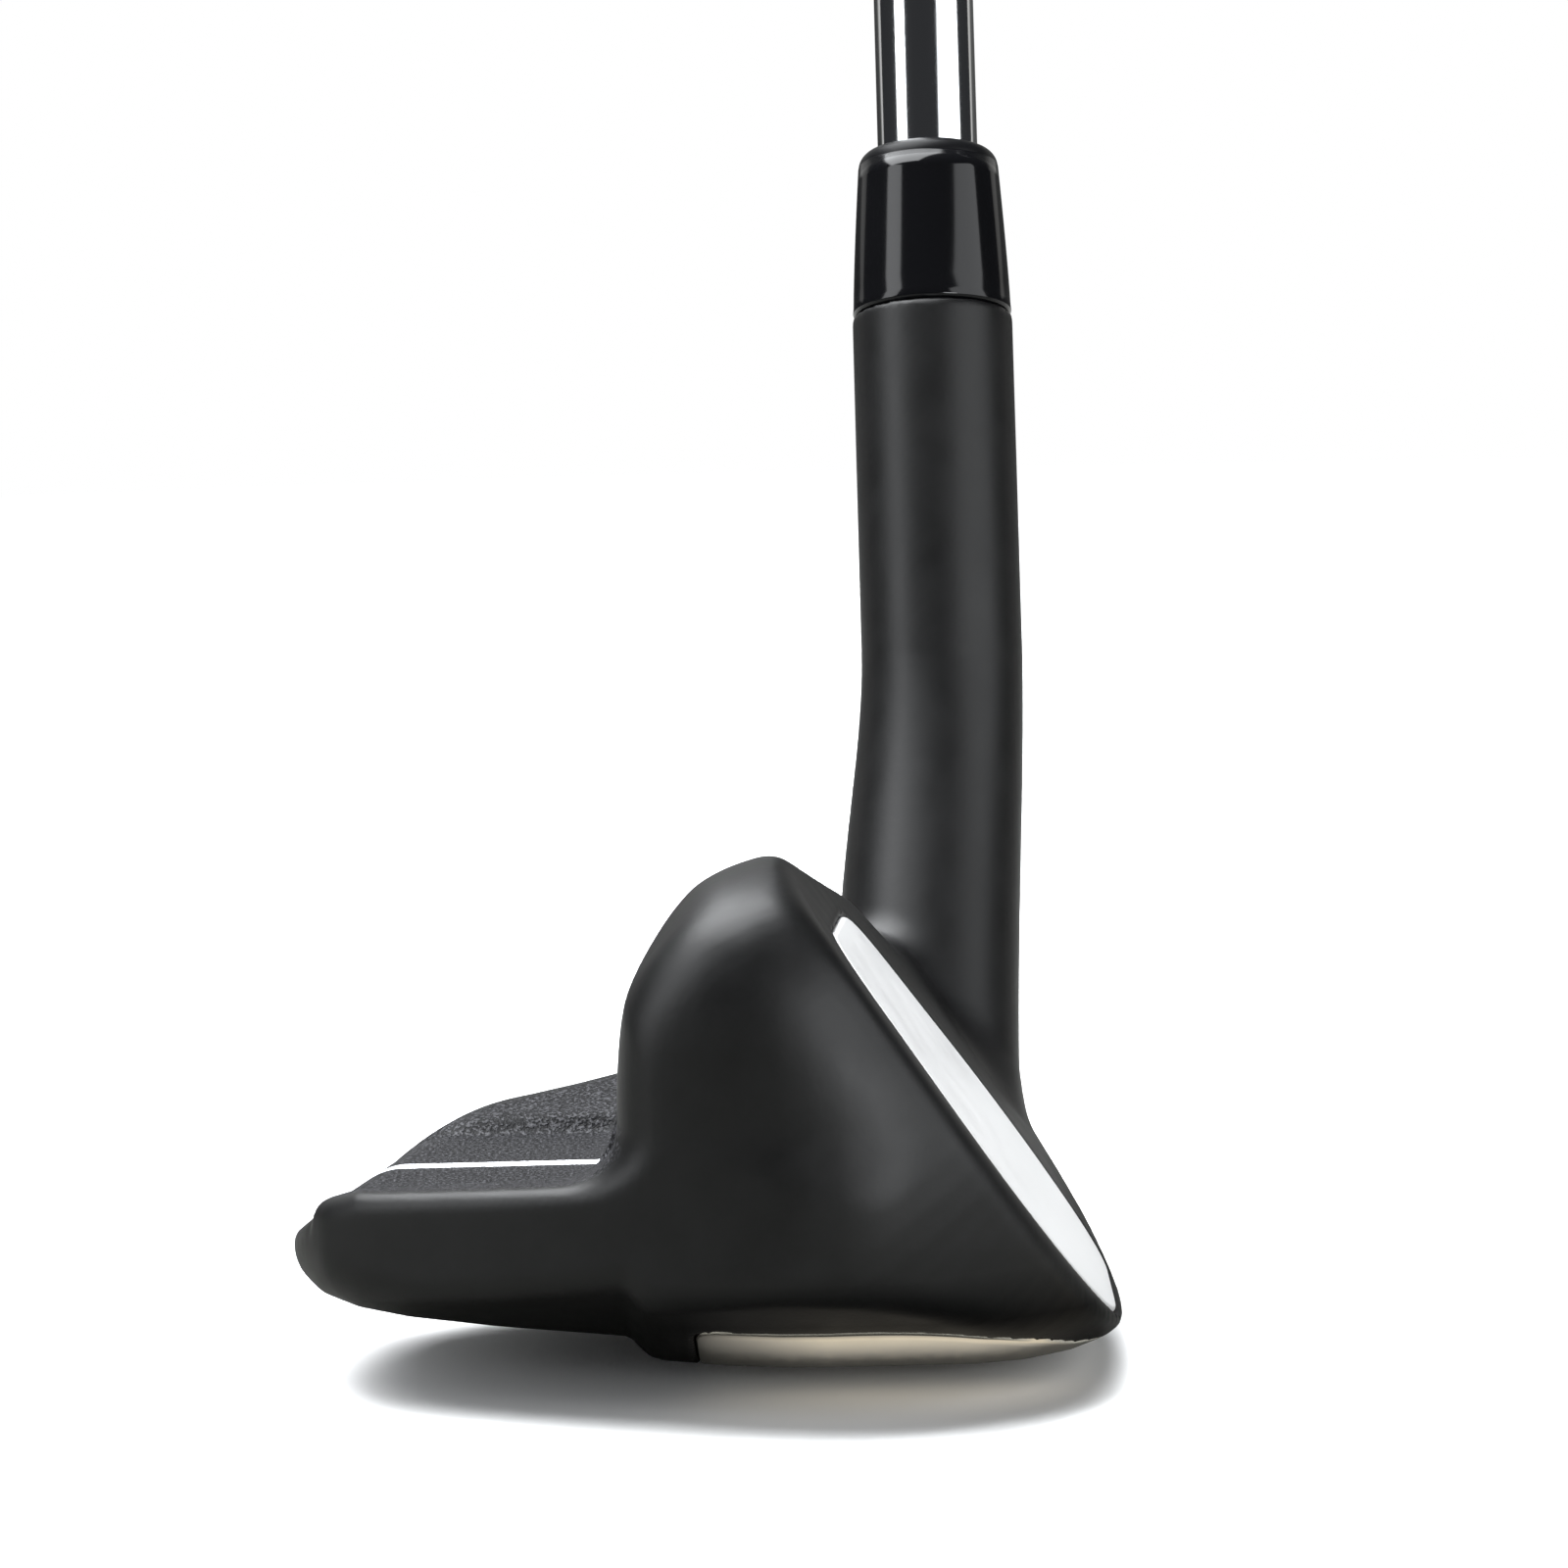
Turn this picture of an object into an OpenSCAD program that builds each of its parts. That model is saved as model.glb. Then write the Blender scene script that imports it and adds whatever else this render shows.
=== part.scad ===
// Chipper-style iron golf club, right handed.
// +X is the target direction, +Y runs from toe to heel, +Z is up.
// The origin is the middle of the sole flat, on the ground at address.

/* [Club] */
// Angle of the face behind vertical, degrees
loft = 34; // [30:1:38]
// Angle between shaft and ground, degrees
lie = 71; // [68:1:74]
// Length along the shaft from the ground to the end of the grip
club_length = 889; // [860:1:920]

/* [Head] */
// Distance of the face plane from the origin, along the face's normal
face_offset = 22.3; // [21.8:0.1:23]
// Height of the top line at its peak, near the toe
toe_height = 48; // [46:0.2:50]
// How far the toe reaches from the middle of the sole
toe_reach = 40; // [38:0.5:42]
// How far the rear flange reaches behind the origin
flange_reach = 48.6; // [45:0.5:50]
// Height of the flange's channel floor
deck_height = 17.5; // [16.5:0.1:18.5]
// Half width of the channel in the flange
channel_half = 16; // [13:0.5:17]
// Heel to toe radius of the sole
camber_r = 68; // [64:1:80]

/* [Face insert] */
// Thickness of the face insert
insert_t = 3.0; // [2:0.1:4]
// Thickness of the adhesive film behind it
bond_t = 0.2; // [0.1:0.05:0.4]

/* [Hosel and ferrule] */
// Outside diameter of the hosel
hosel_d = 15.0; // [14:0.1:16]
// Diameter of the hosel bore
bore_d = 9.7; // [9.6:0.05:9.9]
// Top of the hosel, measured along the shaft from the ground
hosel_top = 91; // [88:0.5:96]
// Depth of the shaft in the hosel
bore_depth = 32.5; // [28:0.5:36]
// Length of the ferrule
ferrule_l = 16; // [12:0.5:20]

/* [Shaft and grip] */
// Diameter of the shaft's tip
tip_d = 9.4; // [9.3:0.05:9.5]
// Diameter of the shaft's butt
butt_d = 15.2; // [14.5:0.1:15.8]
// Wall thickness of the shaft
wall = 0.5; // [0.4:0.05:0.8]
// Number of steps in the shaft
steps = 12; // [8:1:16]
// Length of the grip
grip_l = 267; // [255:1:280]
// Diameter of the vent hole in the grip cap
vent_d = 3.2; // [2.5:0.1:4]

/* [Hidden] */
$fn = 96;

// The shaft's axis stands in a plane of constant X and meets the ground at shaft_foot.
shaft_foot = [10.6, 36.5, 0];
tip_s = hosel_top - bore_depth + 1;
butt_s = club_length - 4;
grip_mouth_s = butt_s - grip_l + 4;
first_step_s = 330;
last_step_s = grip_mouth_s - 15;
step_gap = (last_step_s - first_step_s) / (steps - 1);
tape_t = 0.2;
sole_flat_cut = 0.3;     // how much the ground flat takes off the lowest part of the sole
plate_t = 1.5;           // sole plate thickness
plate_bond_t = 0.15;
line_w = 2.3;            // alignment line width
line_depth = 0.4;
wall_rise = 1.3;         // height of the channel's side walls
black = [0.09, 0.09, 0.09];

// ---------- helpers ----------

// A closed outline whose corners [x, y, reach] are rounded by a quadratic curve of n segments.
function unit(v) = v / norm(v);
function rounded(c, n = 6) = [for (i = [0:len(c) - 1])
    let (p = [c[i][0], c[i][1]], a = c[(i + len(c) - 1) % len(c)], b = c[(i + 1) % len(c)],
        va = [a[0], a[1]] - p, vb = [b[0], b[1]] - p, d = c[i][2])
    each d <= 0 ? [p] : [for (k = [0:n]) let (t = k / n)
        (1 - t) * (1 - t) * (p + unit(va) * min(d, norm(va) * 0.5))
        + 2 * t * (1 - t) * p + t * t * (p + unit(vb) * min(d, norm(vb) * 0.5))]];

// Places children so that their z axis is the shaft's axis and z = 0 is at the ground.
module on_shaft() translate(shaft_foot) rotate([lie - 90, 0, 0]) children();

// Places children on the face plane: x runs to the heel, y up the face, z out of the face.
module on_face() multmatrix([
    [0, -sin(loft), cos(loft), face_offset / cos(loft)],
    [1, 0, 0, 0],
    [0, cos(loft), sin(loft), 0],
    [0, 0, 0, 1]]) children();

// Extrudes an outline drawn in X and Z along Y, between y0 and y1.
module along_y(y0, y1) translate([0, y1, 0]) rotate([90, 0, 0]) linear_extrude(y1 - y0) children();

// ---------- head ----------

// Sole profile as [x, height] from the rear lip to the leading edge, at the middle of the sole.
pad_rear = -18.7;
sole_profile = rounded([[-49.8, 30, 0], [-49.2, 13.3, 3], [-46.4, 7.5, 3], [-37.6, 5, 5],
    [pad_rear, 3.1, 0.5], [pad_rear + 2, 1.1, 1],
    [-10.8, 0.4, 3], [-3, -sole_flat_cut, 2], [12, -sole_flat_cut, 3],
    [18.4, 0.8, 3], [26, 4.4, 0]], 4);

// Everything above the sole: the profile swept round an axis above the club, raised by lift.
module above_sole(lift = 0) translate([0, 0, camber_r]) rotate([0, 90, 0]) rotate_extrude() polygon(concat(
    [for (p = sole_profile) [camber_r - p[1] - lift, p[0]]], [[0, 26], [0, -49.8]]));

// Outline of the blade, in Y and up the face: the toe, the leading edge and the heel.
module blade_outline() polygon(rounded([
    [34, 105, 0],
    [-toe_reach, 53, 9],
    [-toe_reach, 22, 15],
    [-26, 6.5, 12],
    [4, 0.2, 16],
    [29, 4.6, 10],
    [43, 17, 8],
    [46, 105, 0]], 8));

// Sweeps an outline on the face plane backward through the blade, falling by the given angle.
module swept_back(fall) multmatrix([
    [0, -sin(loft), -cos(fall), face_offset / cos(loft)],
    [1, 0, 0, 0],
    [0, cos(loft), -sin(fall), 0],
    [0, 0, 0, 1]]) translate([0, 0, -5]) linear_extrude(70) children();

// The head seen from above, in X and Y.
module plan_outline() polygon(rounded([
    [32, -toe_reach, 2],
    [-2, -toe_reach - 0.2, 30],
    [-22, -33, 60],
    [-flange_reach + 5, -20.4, 9],
    [-flange_reach + 2.2, -15.5, 3],
    [-flange_reach - 0.4, -6, 8],
    [-flange_reach + 4, 14, 9],
    [-flange_reach + 12, 20.3, 8],
    [-17, 32.5, 12],
    [-4, 48, 12],
    [32, 48, 2]], 8));

// Where a point at height z lies on the face plane.
function face_x(z) = (face_offset - z * sin(loft)) / cos(loft);

// Everything behind the face plane.
module behind_face() along_y(-60, 60) polygon([
    [face_x(60), 60], [-60, 60], [-60, -5], [face_x(-5), -5]]);

// The blade's back, its top falling toward the heel.
top_fall = 0.3;
back = -19.1;
module blade_back()
    multmatrix([[1, 0, 0, 0], [0, 1, 0, 0], [0, -top_fall, 1, -28 * top_fall], [0, 0, 0, 1]])
    along_y(-45, 50) polygon(rounded([
        [-10.9, toe_height - 1.2, 5],
        [-14.7, 43.4, 5],
        [-18.2, 36.5, 6],
        [back, 29.3, 4],
        [back, -10, 0],
        [32, -10, 0],
        [32, toe_height + 10, 0]], 8));

module blade() intersection() {
    swept_back(30) blade_outline();
    behind_face();
    blade_back();
}

// The air above the flange: dished from side to side and rounded into the blade's back.
dish_r = 200;
module above_flange() let (low = deck_height + wall_rise - 0.3)
    translate([0, 0, low + dish_r]) rotate([0, 90, 0]) rotate_extrude() polygon(rounded([
        [0, -70, 0],
        [dish_r + 12, -70, 0],
        [dish_r + 4, -flange_reach - 2, 0],
        [dish_r + 0.7, -flange_reach + 7, 5],
        [dish_r, back, 6],
        [0, back, 0]], 6));

// The channel along the flange, rounded where it meets the back wall.
module channel() along_y(-channel_half, channel_half) polygon(rounded([
    [back, 30, 0],
    [-70, 30, 0],
    [-70, deck_height, 0],
    [back, deck_height, 6]], 6));

// The slope that ends the channel and the heel side of the flange, turned toward the heel.
crest_turn = 12;
slope = 36.6;
module rear_slope() intersection() {
    translate([-40, 0, deck_height]) rotate([0, 0, -crest_turn]) along_y(-60, 60) polygon(rounded([
        [12, 4, 0],
        [0, 0, 3],
        [-30, -30 * tan(slope), 0],
        [-30, 30, 0],
        [12, 30, 0]], 6));
    translate([-80, -channel_half, 0]) cube([60, 80, 40]);
}

// Neck between the hosel and the blade's heel: balls along a curve, each hulled to the next.
neck_s = 58;             // where the neck becomes the round hosel, along the shaft
neck_steps = 8;
neck_path = [[10.6, 55.7, 55.5, 7.45], [10.7, 51.8, 44.2, 7.5], [6.9, 45.5, 31, 8.9], [8.5, 38, 16.5, 8.3]];
function neck_at(t) = (1 - t) ^ 3 * neck_path[0] + 3 * t * (1 - t) ^ 2 * neck_path[1]
    + 3 * t ^ 2 * (1 - t) * neck_path[2] + t ^ 3 * neck_path[3];
module neck_ball(t) let (p = neck_at(t)) translate([p[0], p[1], p[2]]) sphere(r = p[3], $fn = 28);
module neck() {
    hull() {
        on_shaft() translate([0, 0, neck_s - 3]) cylinder(r = hosel_d / 2, h = 3, $fn = 48);
        neck_ball(0);
    }
    for (i = [0:neck_steps - 1]) hull() {
        neck_ball(i / neck_steps);
        neck_ball((i + 1) / neck_steps);
    }
    hull() {
        neck_ball(0.5);
        neck_ball(0.75);
        translate([1.5, 27, 27.5]) sphere(r = 4, $fn = 28);
    }
}

module head_blank() difference() {
    intersection() {
        union() {
            blade();
            translate([-60, -45, -5]) cube([54, 95, 31]);
        }
        translate([0, 0, -5]) linear_extrude(60) plan_outline();
        above_sole();
        translate([-70, -60, 0]) cube([120, 120, 60]);
    }
    above_flange();
    channel();
    rear_slope();
}

// Outline of the face insert on the face plane.
module insert_outline() polygon(rounded([
    [-29.8, 49.3, 7],
    [3, 46.7, 7],
    [17.5, 22.1, 10],
    [15, 6.7, 9],
    [-17, 6.3, 9],
    [-30.5, 20.1, 12]], 8));

// Outline of the sole plate, seen from below.
module plate_outline() polygon(rounded([
    [-13, -30.2, 2.5],
    [13, -31, 13],
    [22.4, -14, 12],
    [23, 6, 12],
    [12, 29, 14],
    [-12, 29, 3]], 8));

module sole_layer(from, to) intersection() {
    difference() {
        above_sole(from);
        above_sole(to);
    }
    translate([0, 0, -1]) linear_extrude(20) plate_outline();
    translate([-70, -60, 0]) cube([120, 120, 60]);
}

// Strip that the alignment line fills: along the channel's floor and down its rear slope.
module line_strip(over = 0) along_y(-line_w / 2, line_w / 2) let (
    f = deck_height, fall = tan(slope) * cos(crest_turn), x0 = back - 3.2, x1 = -40, x2 = -47.2) polygon([
    [x0, f - line_depth],
    [x0, f + over],
    [x1, f + over],
    [x2, f - (x1 - x2) * fall + over],
    [x2, f - (x1 - x2) * fall - line_depth],
    [x1, f - line_depth]]);

module head_body() color(black) difference() {
    union() {
        head_blank();
        neck();
        on_shaft() translate([0, 0, neck_s]) cylinder(r = hosel_d / 2, h = hosel_top - neck_s);
    }
    on_shaft() translate([0, 0, hosel_top - bore_depth]) cylinder(d = bore_d, h = bore_depth + 1);
    on_face() translate([0, 0, -insert_t - bond_t]) linear_extrude(insert_t + bond_t + 3) insert_outline();
    sole_layer(-2, plate_t + plate_bond_t);
    line_strip(3);
}

module face_insert() color("white") on_face() translate([0, 0, -insert_t])
    linear_extrude(insert_t) insert_outline();

module insert_bond() color([0.85, 0.8, 0.6]) on_face() translate([0, 0, -insert_t - bond_t])
    linear_extrude(bond_t) insert_outline();

module sole_plate() color([0.78, 0.76, 0.7]) sole_layer(0, plate_t);

module sole_plate_bond() color([0.85, 0.8, 0.6]) sole_layer(plate_t, plate_t + plate_bond_t);

module alignment_line() color("white") line_strip();

// ---------- ferrule, shaft and what the hosel holds ----------

module ferrule() color([0.03, 0.03, 0.03]) on_shaft() translate([0, 0, hosel_top]) rotate_extrude()
    polygon(rounded([
        [tip_d / 2, 0, 0],
        [hosel_d / 2 - 0.15, 0, 0.3],
        [hosel_d / 2 - 0.35, 5, 2],
        [hosel_d / 2 - 1.15, ferrule_l - 0.6, 1.6],
        [hosel_d / 2 - 2.6, ferrule_l, 0.4],
        [tip_d / 2, ferrule_l, 0]], 6));

module hosel_epoxy() color([0.9, 0.85, 0.6]) on_shaft() difference() {
    translate([0, 0, hosel_top - bore_depth]) cylinder(d = bore_d, h = bore_depth);
    translate([0, 0, tip_s]) cylinder(d = tip_d, h = bore_depth);
}

// Shaft radius at each step, counted from 0 at the tip.
function step_r(i) = tip_d / 2 + (butt_d - tip_d) / 2 * i / steps;

// Outside of the shaft as [radius, position], moved in by inset.
function shaft_side(inset) = concat([[step_r(0) - inset, tip_s]], [for (i = [1:steps])
    let (s = first_step_s + (i - 1) * step_gap)
    each [[step_r(i - 1) - inset, s], [step_r(i) - inset, s + 0.8]]], [[step_r(steps) - inset, butt_s]]);

module shaft() color([0.75, 0.77, 0.8]) on_shaft() rotate_extrude() let (
    outer = shaft_side(0), inner = shaft_side(wall))
    polygon(concat(outer, [for (i = [len(inner) - 1:-1:0]) inner[i]]));

plug_r = tip_d / 2 - wall - 0.02;
module swing_weight_plug() color([0.7, 0.6, 0.3]) on_shaft() translate([0, 0, tip_s]) rotate_extrude()
    polygon([[0, 0], [plug_r, 0], [plug_r, 10], [2.4, 12], [2.4, 22], [0, 22]]);

// Thin printed film round the shaft, just below the grip.
band_l = 12;
band_s = grip_mouth_s - band_l - 2;
module shaft_band() color([0.2, 0.2, 0.22]) on_shaft() translate([0, 0, band_s]) difference() {
    cylinder(r = step_r(steps) + 0.08, h = band_l);
    translate([0, 0, -1]) cylinder(r = step_r(steps), h = band_l + 2);
}

// ---------- grip ----------

module grip_tape() color([0.92, 0.9, 0.85]) on_shaft() translate([0, 0, grip_mouth_s + 3]) difference() {
    cylinder(r = step_r(steps) + tape_t, h = butt_s - grip_mouth_s - 3);
    translate([0, 0, -1]) cylinder(r = step_r(steps), h = butt_s - grip_mouth_s);
}

grip_mouth_r = 9.6;
grip_butt_r = 13.2;
cap_s = butt_s - 5;

module grip_sleeve() color([0.07, 0.07, 0.07]) on_shaft() difference() {
    rotate_extrude() polygon(rounded([
        [step_r(steps), grip_mouth_s, 0],
        [grip_mouth_r, grip_mouth_s, 0.8],
        [grip_mouth_r + 0.2, grip_mouth_s + 6, 2],
        [grip_mouth_r - 0.1, grip_mouth_s + 9, 2],
        [11.6, cap_s - 60, 30],
        [grip_butt_r, cap_s, 0],
        [step_r(steps), cap_s, 0]], 6));
    translate([0, 0, grip_mouth_s + 3]) cylinder(r = step_r(steps) + tape_t, h = grip_l);
}

module grip_cap() color([0.05, 0.05, 0.05]) on_shaft() difference() {
    rotate_extrude() polygon(rounded([
        [0, butt_s, 0],
        [step_r(steps) + tape_t, butt_s, 0],
        [step_r(steps) + tape_t, cap_s, 0],
        [grip_butt_r, cap_s, 0],
        [grip_butt_r + 0.5, cap_s + 2.5, 2],
        [grip_butt_r - 0.4, club_length - 1.2, 3],
        [9, club_length, 3],
        [0, club_length, 0]], 6));
    translate([0, 0, butt_s - 1]) cylinder(d = vent_d, h = 8);
}

head_body();
face_insert();
insert_bond();
sole_plate();
sole_plate_bond();
alignment_line();
ferrule();
hosel_epoxy();
shaft();
swing_weight_plug();
shaft_band();
grip_tape();
grip_sleeve();
grip_cap();
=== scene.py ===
"""Looks of a chipper-style iron golf club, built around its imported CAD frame.

Frame: +X is the target direction, +Y runs from toe to heel, +Z is up, and the origin is on the ground under
the sole's flat. Sizes here are millimetres until a mesh is made, when they become metres. Places along the
shaft are measured from where its axis meets the ground.
"""

import math

import bpy
import numpy as np
from mathutils import Matrix, Vector


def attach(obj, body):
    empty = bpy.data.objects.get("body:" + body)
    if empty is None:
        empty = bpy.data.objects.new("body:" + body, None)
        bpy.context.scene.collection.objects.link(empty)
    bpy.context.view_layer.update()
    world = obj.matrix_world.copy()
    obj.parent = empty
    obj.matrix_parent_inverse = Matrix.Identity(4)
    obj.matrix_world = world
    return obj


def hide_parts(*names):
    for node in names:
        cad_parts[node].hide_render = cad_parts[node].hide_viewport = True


MM = 0.001
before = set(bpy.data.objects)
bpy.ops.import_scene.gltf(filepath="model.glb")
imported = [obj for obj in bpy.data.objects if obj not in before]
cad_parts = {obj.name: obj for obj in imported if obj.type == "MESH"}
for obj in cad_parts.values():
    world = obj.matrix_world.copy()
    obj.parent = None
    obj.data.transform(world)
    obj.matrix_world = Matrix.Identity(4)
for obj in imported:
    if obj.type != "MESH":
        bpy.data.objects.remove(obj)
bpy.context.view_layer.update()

# ---------- sizes shared with the CAD part ----------

LOFT = math.radians(34)
FACE_C = 22.3  # distance of the face's plane from the origin
LIE = math.radians(71)
SHAFT_FOOT = np.array([10.6, 36.5, 0.0])  # where the shaft's axis meets the ground
AXIS = np.array([0.0, math.cos(LIE), math.sin(LIE)])
HOSEL_R = 7.5
HOSEL_TOP = 91.0
BORE_R = 4.85
BORE_DEPTH = 32.5
FERRULE_L = 16.0
TIP_R = 4.7
BUTT_R = 7.6
CLUB_L = 889
CAMBER_R = 68  # heel to toe radius of the sole
DECK_Z = 17.5  # height of the flange's channel floor
CHANNEL_HALF = 16
INSERT_T = 3.0
PLATE_T = 1.5


# ---------- mesh helpers ----------


def mesh_object(name, verts, faces):
    """A smooth-shaded mesh object from points in millimetres."""
    mesh = bpy.data.meshes.new(name)
    verts = np.asarray(verts, float) * MM
    mesh.from_pydata([tuple(v) for v in verts], [], [tuple(int(i) for i in f) for f in faces])
    mesh.validate()
    mesh.update()
    mesh.polygons.foreach_set("use_smooth", [True] * len(mesh.polygons))
    obj = bpy.data.objects.new(name, mesh)
    bpy.context.scene.collection.objects.link(obj)
    return obj


def sharpen(obj, degrees):
    """Keeps edges sharper than this angle crisp under smooth shading."""
    obj.data.set_sharp_from_angle(angle=math.radians(degrees))


def rounded(corners, n=6):
    """A closed outline whose corners (x, y, reach) are rounded by quadratic curves."""
    out = []
    for i, (x, y, reach) in enumerate(corners):
        p = np.array([x, y], float)
        if reach <= 0:
            out.append(p)
            continue
        va = np.array(corners[i - 1][:2], float) - p
        vb = np.array(corners[(i + 1) % len(corners)][:2], float) - p
        la, lb = np.linalg.norm(va), np.linalg.norm(vb)
        start = p + va / la * min(reach, la * 0.5)
        end = p + vb / lb * min(reach, lb * 0.5)
        for t in np.linspace(0, 1, n + 1):
            out.append((1 - t) ** 2 * start + 2 * t * (1 - t) * p + t * t * end)
    return np.array(out)


def even(outline, count):
    """The closed outline resampled to evenly spaced points."""
    ring = np.vstack([outline, outline[:1]])
    seg = np.linalg.norm(np.diff(ring, axis=0), axis=1)
    s = np.concatenate([[0], np.cumsum(seg)])
    at = np.linspace(0, s[-1], count, endpoint=False)
    return np.stack([np.interp(at, s, ring[:, 0]), np.interp(at, s, ring[:, 1])], 1)


def outline_distance(outline, x, y):
    """Signed distance to a closed outline, negative inside; x and y broadcast together."""
    x, y = np.broadcast_arrays(np.asarray(x, np.float32), np.asarray(y, np.float32))
    best = np.full(x.shape, 1e9, np.float32)
    inside = np.zeros(x.shape, bool)
    for i in range(len(outline)):
        (ax, ay), (bx, by) = outline[i - 1], outline[i]
        ex, ey = bx - ax, by - ay
        length2 = ex * ex + ey * ey
        if length2 < 1e-12:
            continue
        t = np.clip(((x - ax) * ex + (y - ay) * ey) / length2, 0, 1)
        best = np.minimum(best, (x - ax - t * ex) ** 2 + (y - ay - t * ey) ** 2)
        if ay != by:
            crosses = (ay > y) != (by > y)
            inside ^= crosses & (x < ax + (y - ay) / (by - ay) * ex)
    distance = np.sqrt(best)
    return np.where(inside, -distance, distance)


class Table:
    """Distance to an outline, kept on a grid so that it can be read quickly at many points."""

    def __init__(self, outline, x, low, high, step=0.25):
        self.low, self.step = low, step
        self.count = int((high - low) / step) + 2
        y = low + step * np.arange(self.count)
        self.values = outline_distance(outline, np.asarray(x)[:, None], y[None, :])

    def read(self, rows, y):
        """The value at grid row numbers and free y values, which broadcast together."""
        f = np.clip((y - self.low) / self.step, 0, self.count - 1.001)
        i = f.astype(np.int32)
        f = (f - i).astype(np.float32)
        return self.values[rows, i] * (1 - f) + self.values[rows, i + 1] * f


def smooth_max(a, b, k):
    h = np.maximum(k - np.abs(a - b), 0) / k
    return np.maximum(a, b) + h * h * k * 0.25


def smooth_min(a, b, k):
    return -smooth_max(-a, -b, k)


def smoothstep(low, high, v):
    t = np.clip((v - low) / (high - low), 0, 1)
    return t * t * (3 - 2 * t)


def surface_net(field, origin, step):
    """Quads on the zero surface of a field sampled on a grid, their corners pulled onto the surface."""
    inside = field < 0
    nx, ny, nz = (n - 1 for n in field.shape)
    count = np.zeros((nx, ny, nz), np.uint8)
    for dx in (0, 1):
        for dy in (0, 1):
            for dz in (0, 1):
                count += inside[dx : dx + nx, dy : dy + ny, dz : dz + nz]
    cells = np.argwhere((count > 0) & (count < 8))
    ids = np.full((nx, ny, nz), -1, np.int32)
    ids[cells[:, 0], cells[:, 1], cells[:, 2]] = np.arange(len(cells))
    total = np.zeros((len(cells), 3))
    hits = np.zeros(len(cells))
    corners = [(i, j, k) for i in (0, 1) for j in (0, 1) for k in (0, 1)]
    for a in corners:
        for axis in range(3):
            if a[axis]:
                continue
            b = list(a)
            b[axis] = 1
            va = field[cells[:, 0] + a[0], cells[:, 1] + a[1], cells[:, 2] + a[2]]
            vb = field[cells[:, 0] + b[0], cells[:, 1] + b[1], cells[:, 2] + b[2]]
            cross = (va < 0) != (vb < 0)
            t = np.where(cross, va / np.where(cross, va - vb, 1), 0)
            for d in range(3):
                total[:, d] += np.where(cross, a[d] + (t if d == axis else 0), 0)
            hits += cross
    points = cells + total / hits[:, None]
    # A grid edge that crosses the surface joins the four cells round it.
    quads = []
    for axis in range(3):
        u, v = [(1, 2), (2, 0), (0, 1)][axis]
        low = [slice(1, n) for n in (nx, ny, nz)]
        low[axis] = slice(0, (nx, ny, nz)[axis])
        high = list(low)
        high[axis] = slice(1, (nx, ny, nz)[axis] + 1)
        here, there = inside[tuple(low)], inside[tuple(high)]
        for flip, mask in ((False, here & ~there), (True, ~here & there)):
            at = np.argwhere(mask)
            for d in (u, v):
                at[:, d] += 1
            ring = []
            for du, dv in ((1, 1), (0, 1), (0, 0), (1, 0)):
                c = at.copy()
                c[:, u] -= du
                c[:, v] -= dv
                ring.append(ids[c[:, 0], c[:, 1], c[:, 2]])
            quad = np.stack(ring, 1)
            quads.append(quad[:, ::-1] if flip else quad)
    quads = np.vstack(quads)
    quads = quads[(quads >= 0).all(1)]
    # Each corner moves along the field's slope, by at most part of a cell at a time.
    longest = 0.4
    top = np.array(field.shape) - 1.001
    for _ in range(3):
        p = np.clip(points, 0, top)
        i = p.astype(int)
        f = p - i
        c = {
            (a, b, d): field[i[:, 0] + a, i[:, 1] + b, i[:, 2] + d]
            for a in (0, 1)
            for b in (0, 1)
            for d in (0, 1)
        }
        fx, fy, fz = f[:, 0], f[:, 1], f[:, 2]

        def mix(g):
            return sum(
                g[a, b, d] * (fx if a else 1 - fx) * (fy if b else 1 - fy) * (fz if d else 1 - fz)
                for a in (0, 1)
                for b in (0, 1)
                for d in (0, 1)
            )

        def slope(axis, w1, w2):
            o = [d for d in range(3) if d != axis]
            out = 0
            for a in (0, 1):
                for b in (0, 1):
                    k1, k0 = [0, 0, 0], [0, 0, 0]
                    k1[axis] = 1
                    k1[o[0]] = k0[o[0]] = a
                    k1[o[1]] = k0[o[1]] = b
                    out = out + (c[tuple(k1)] - c[tuple(k0)]) * (w1 if a else 1 - w1) * (w2 if b else 1 - w2)
            return out

        value = mix(c)
        grad = np.stack([slope(0, fy, fz), slope(1, fx, fz), slope(2, fx, fy)], 1)
        size2 = np.maximum((grad**2).sum(1), 1e-6)
        move = -(value / size2)[:, None] * grad
        length = np.linalg.norm(move, axis=1, keepdims=True)
        points = points + move * np.minimum(1, longest / np.maximum(length, 1e-9))
    return origin + points * step, quads


def lathe(name, profile, around, relief=None):
    """Turns a closed profile of (radius, place along the shaft) round the shaft's axis."""
    profile = np.asarray(profile, float)
    side = np.array([1.0, 0.0, 0.0])
    up = np.cross(AXIS, side)
    angle = np.linspace(0, 2 * math.pi, around, endpoint=False)
    radial = np.cos(angle)[:, None] * side + np.sin(angle)[:, None] * up
    radius = np.repeat(profile[:, :1], around, 1)
    along = np.repeat(profile[:, 1:], around, 1)
    if relief is not None:
        radius = radius + relief(angle[None, :], along, radius)
    verts = SHAFT_FOOT + along[..., None] * AXIS + radius[..., None] * radial[None]
    rows = len(profile)
    faces = []
    for i in range(rows):
        j = (i + 1) % rows
        for k in range(around):
            m = (k + 1) % around
            faces.append((i * around + k, i * around + m, j * around + m, j * around + k))
    return mesh_object(name, verts.reshape(-1, 3), faces)


def arc(cx, cy, r, a0, a1, n):
    """Points of an arc as (radius, along), its angles in degrees."""
    return [
        (cx + r * math.cos(math.radians(a)), cy + r * math.sin(math.radians(a)))
        for a in np.linspace(a0, a1, n)
    ]


# ---------- shape of the head ----------

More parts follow.
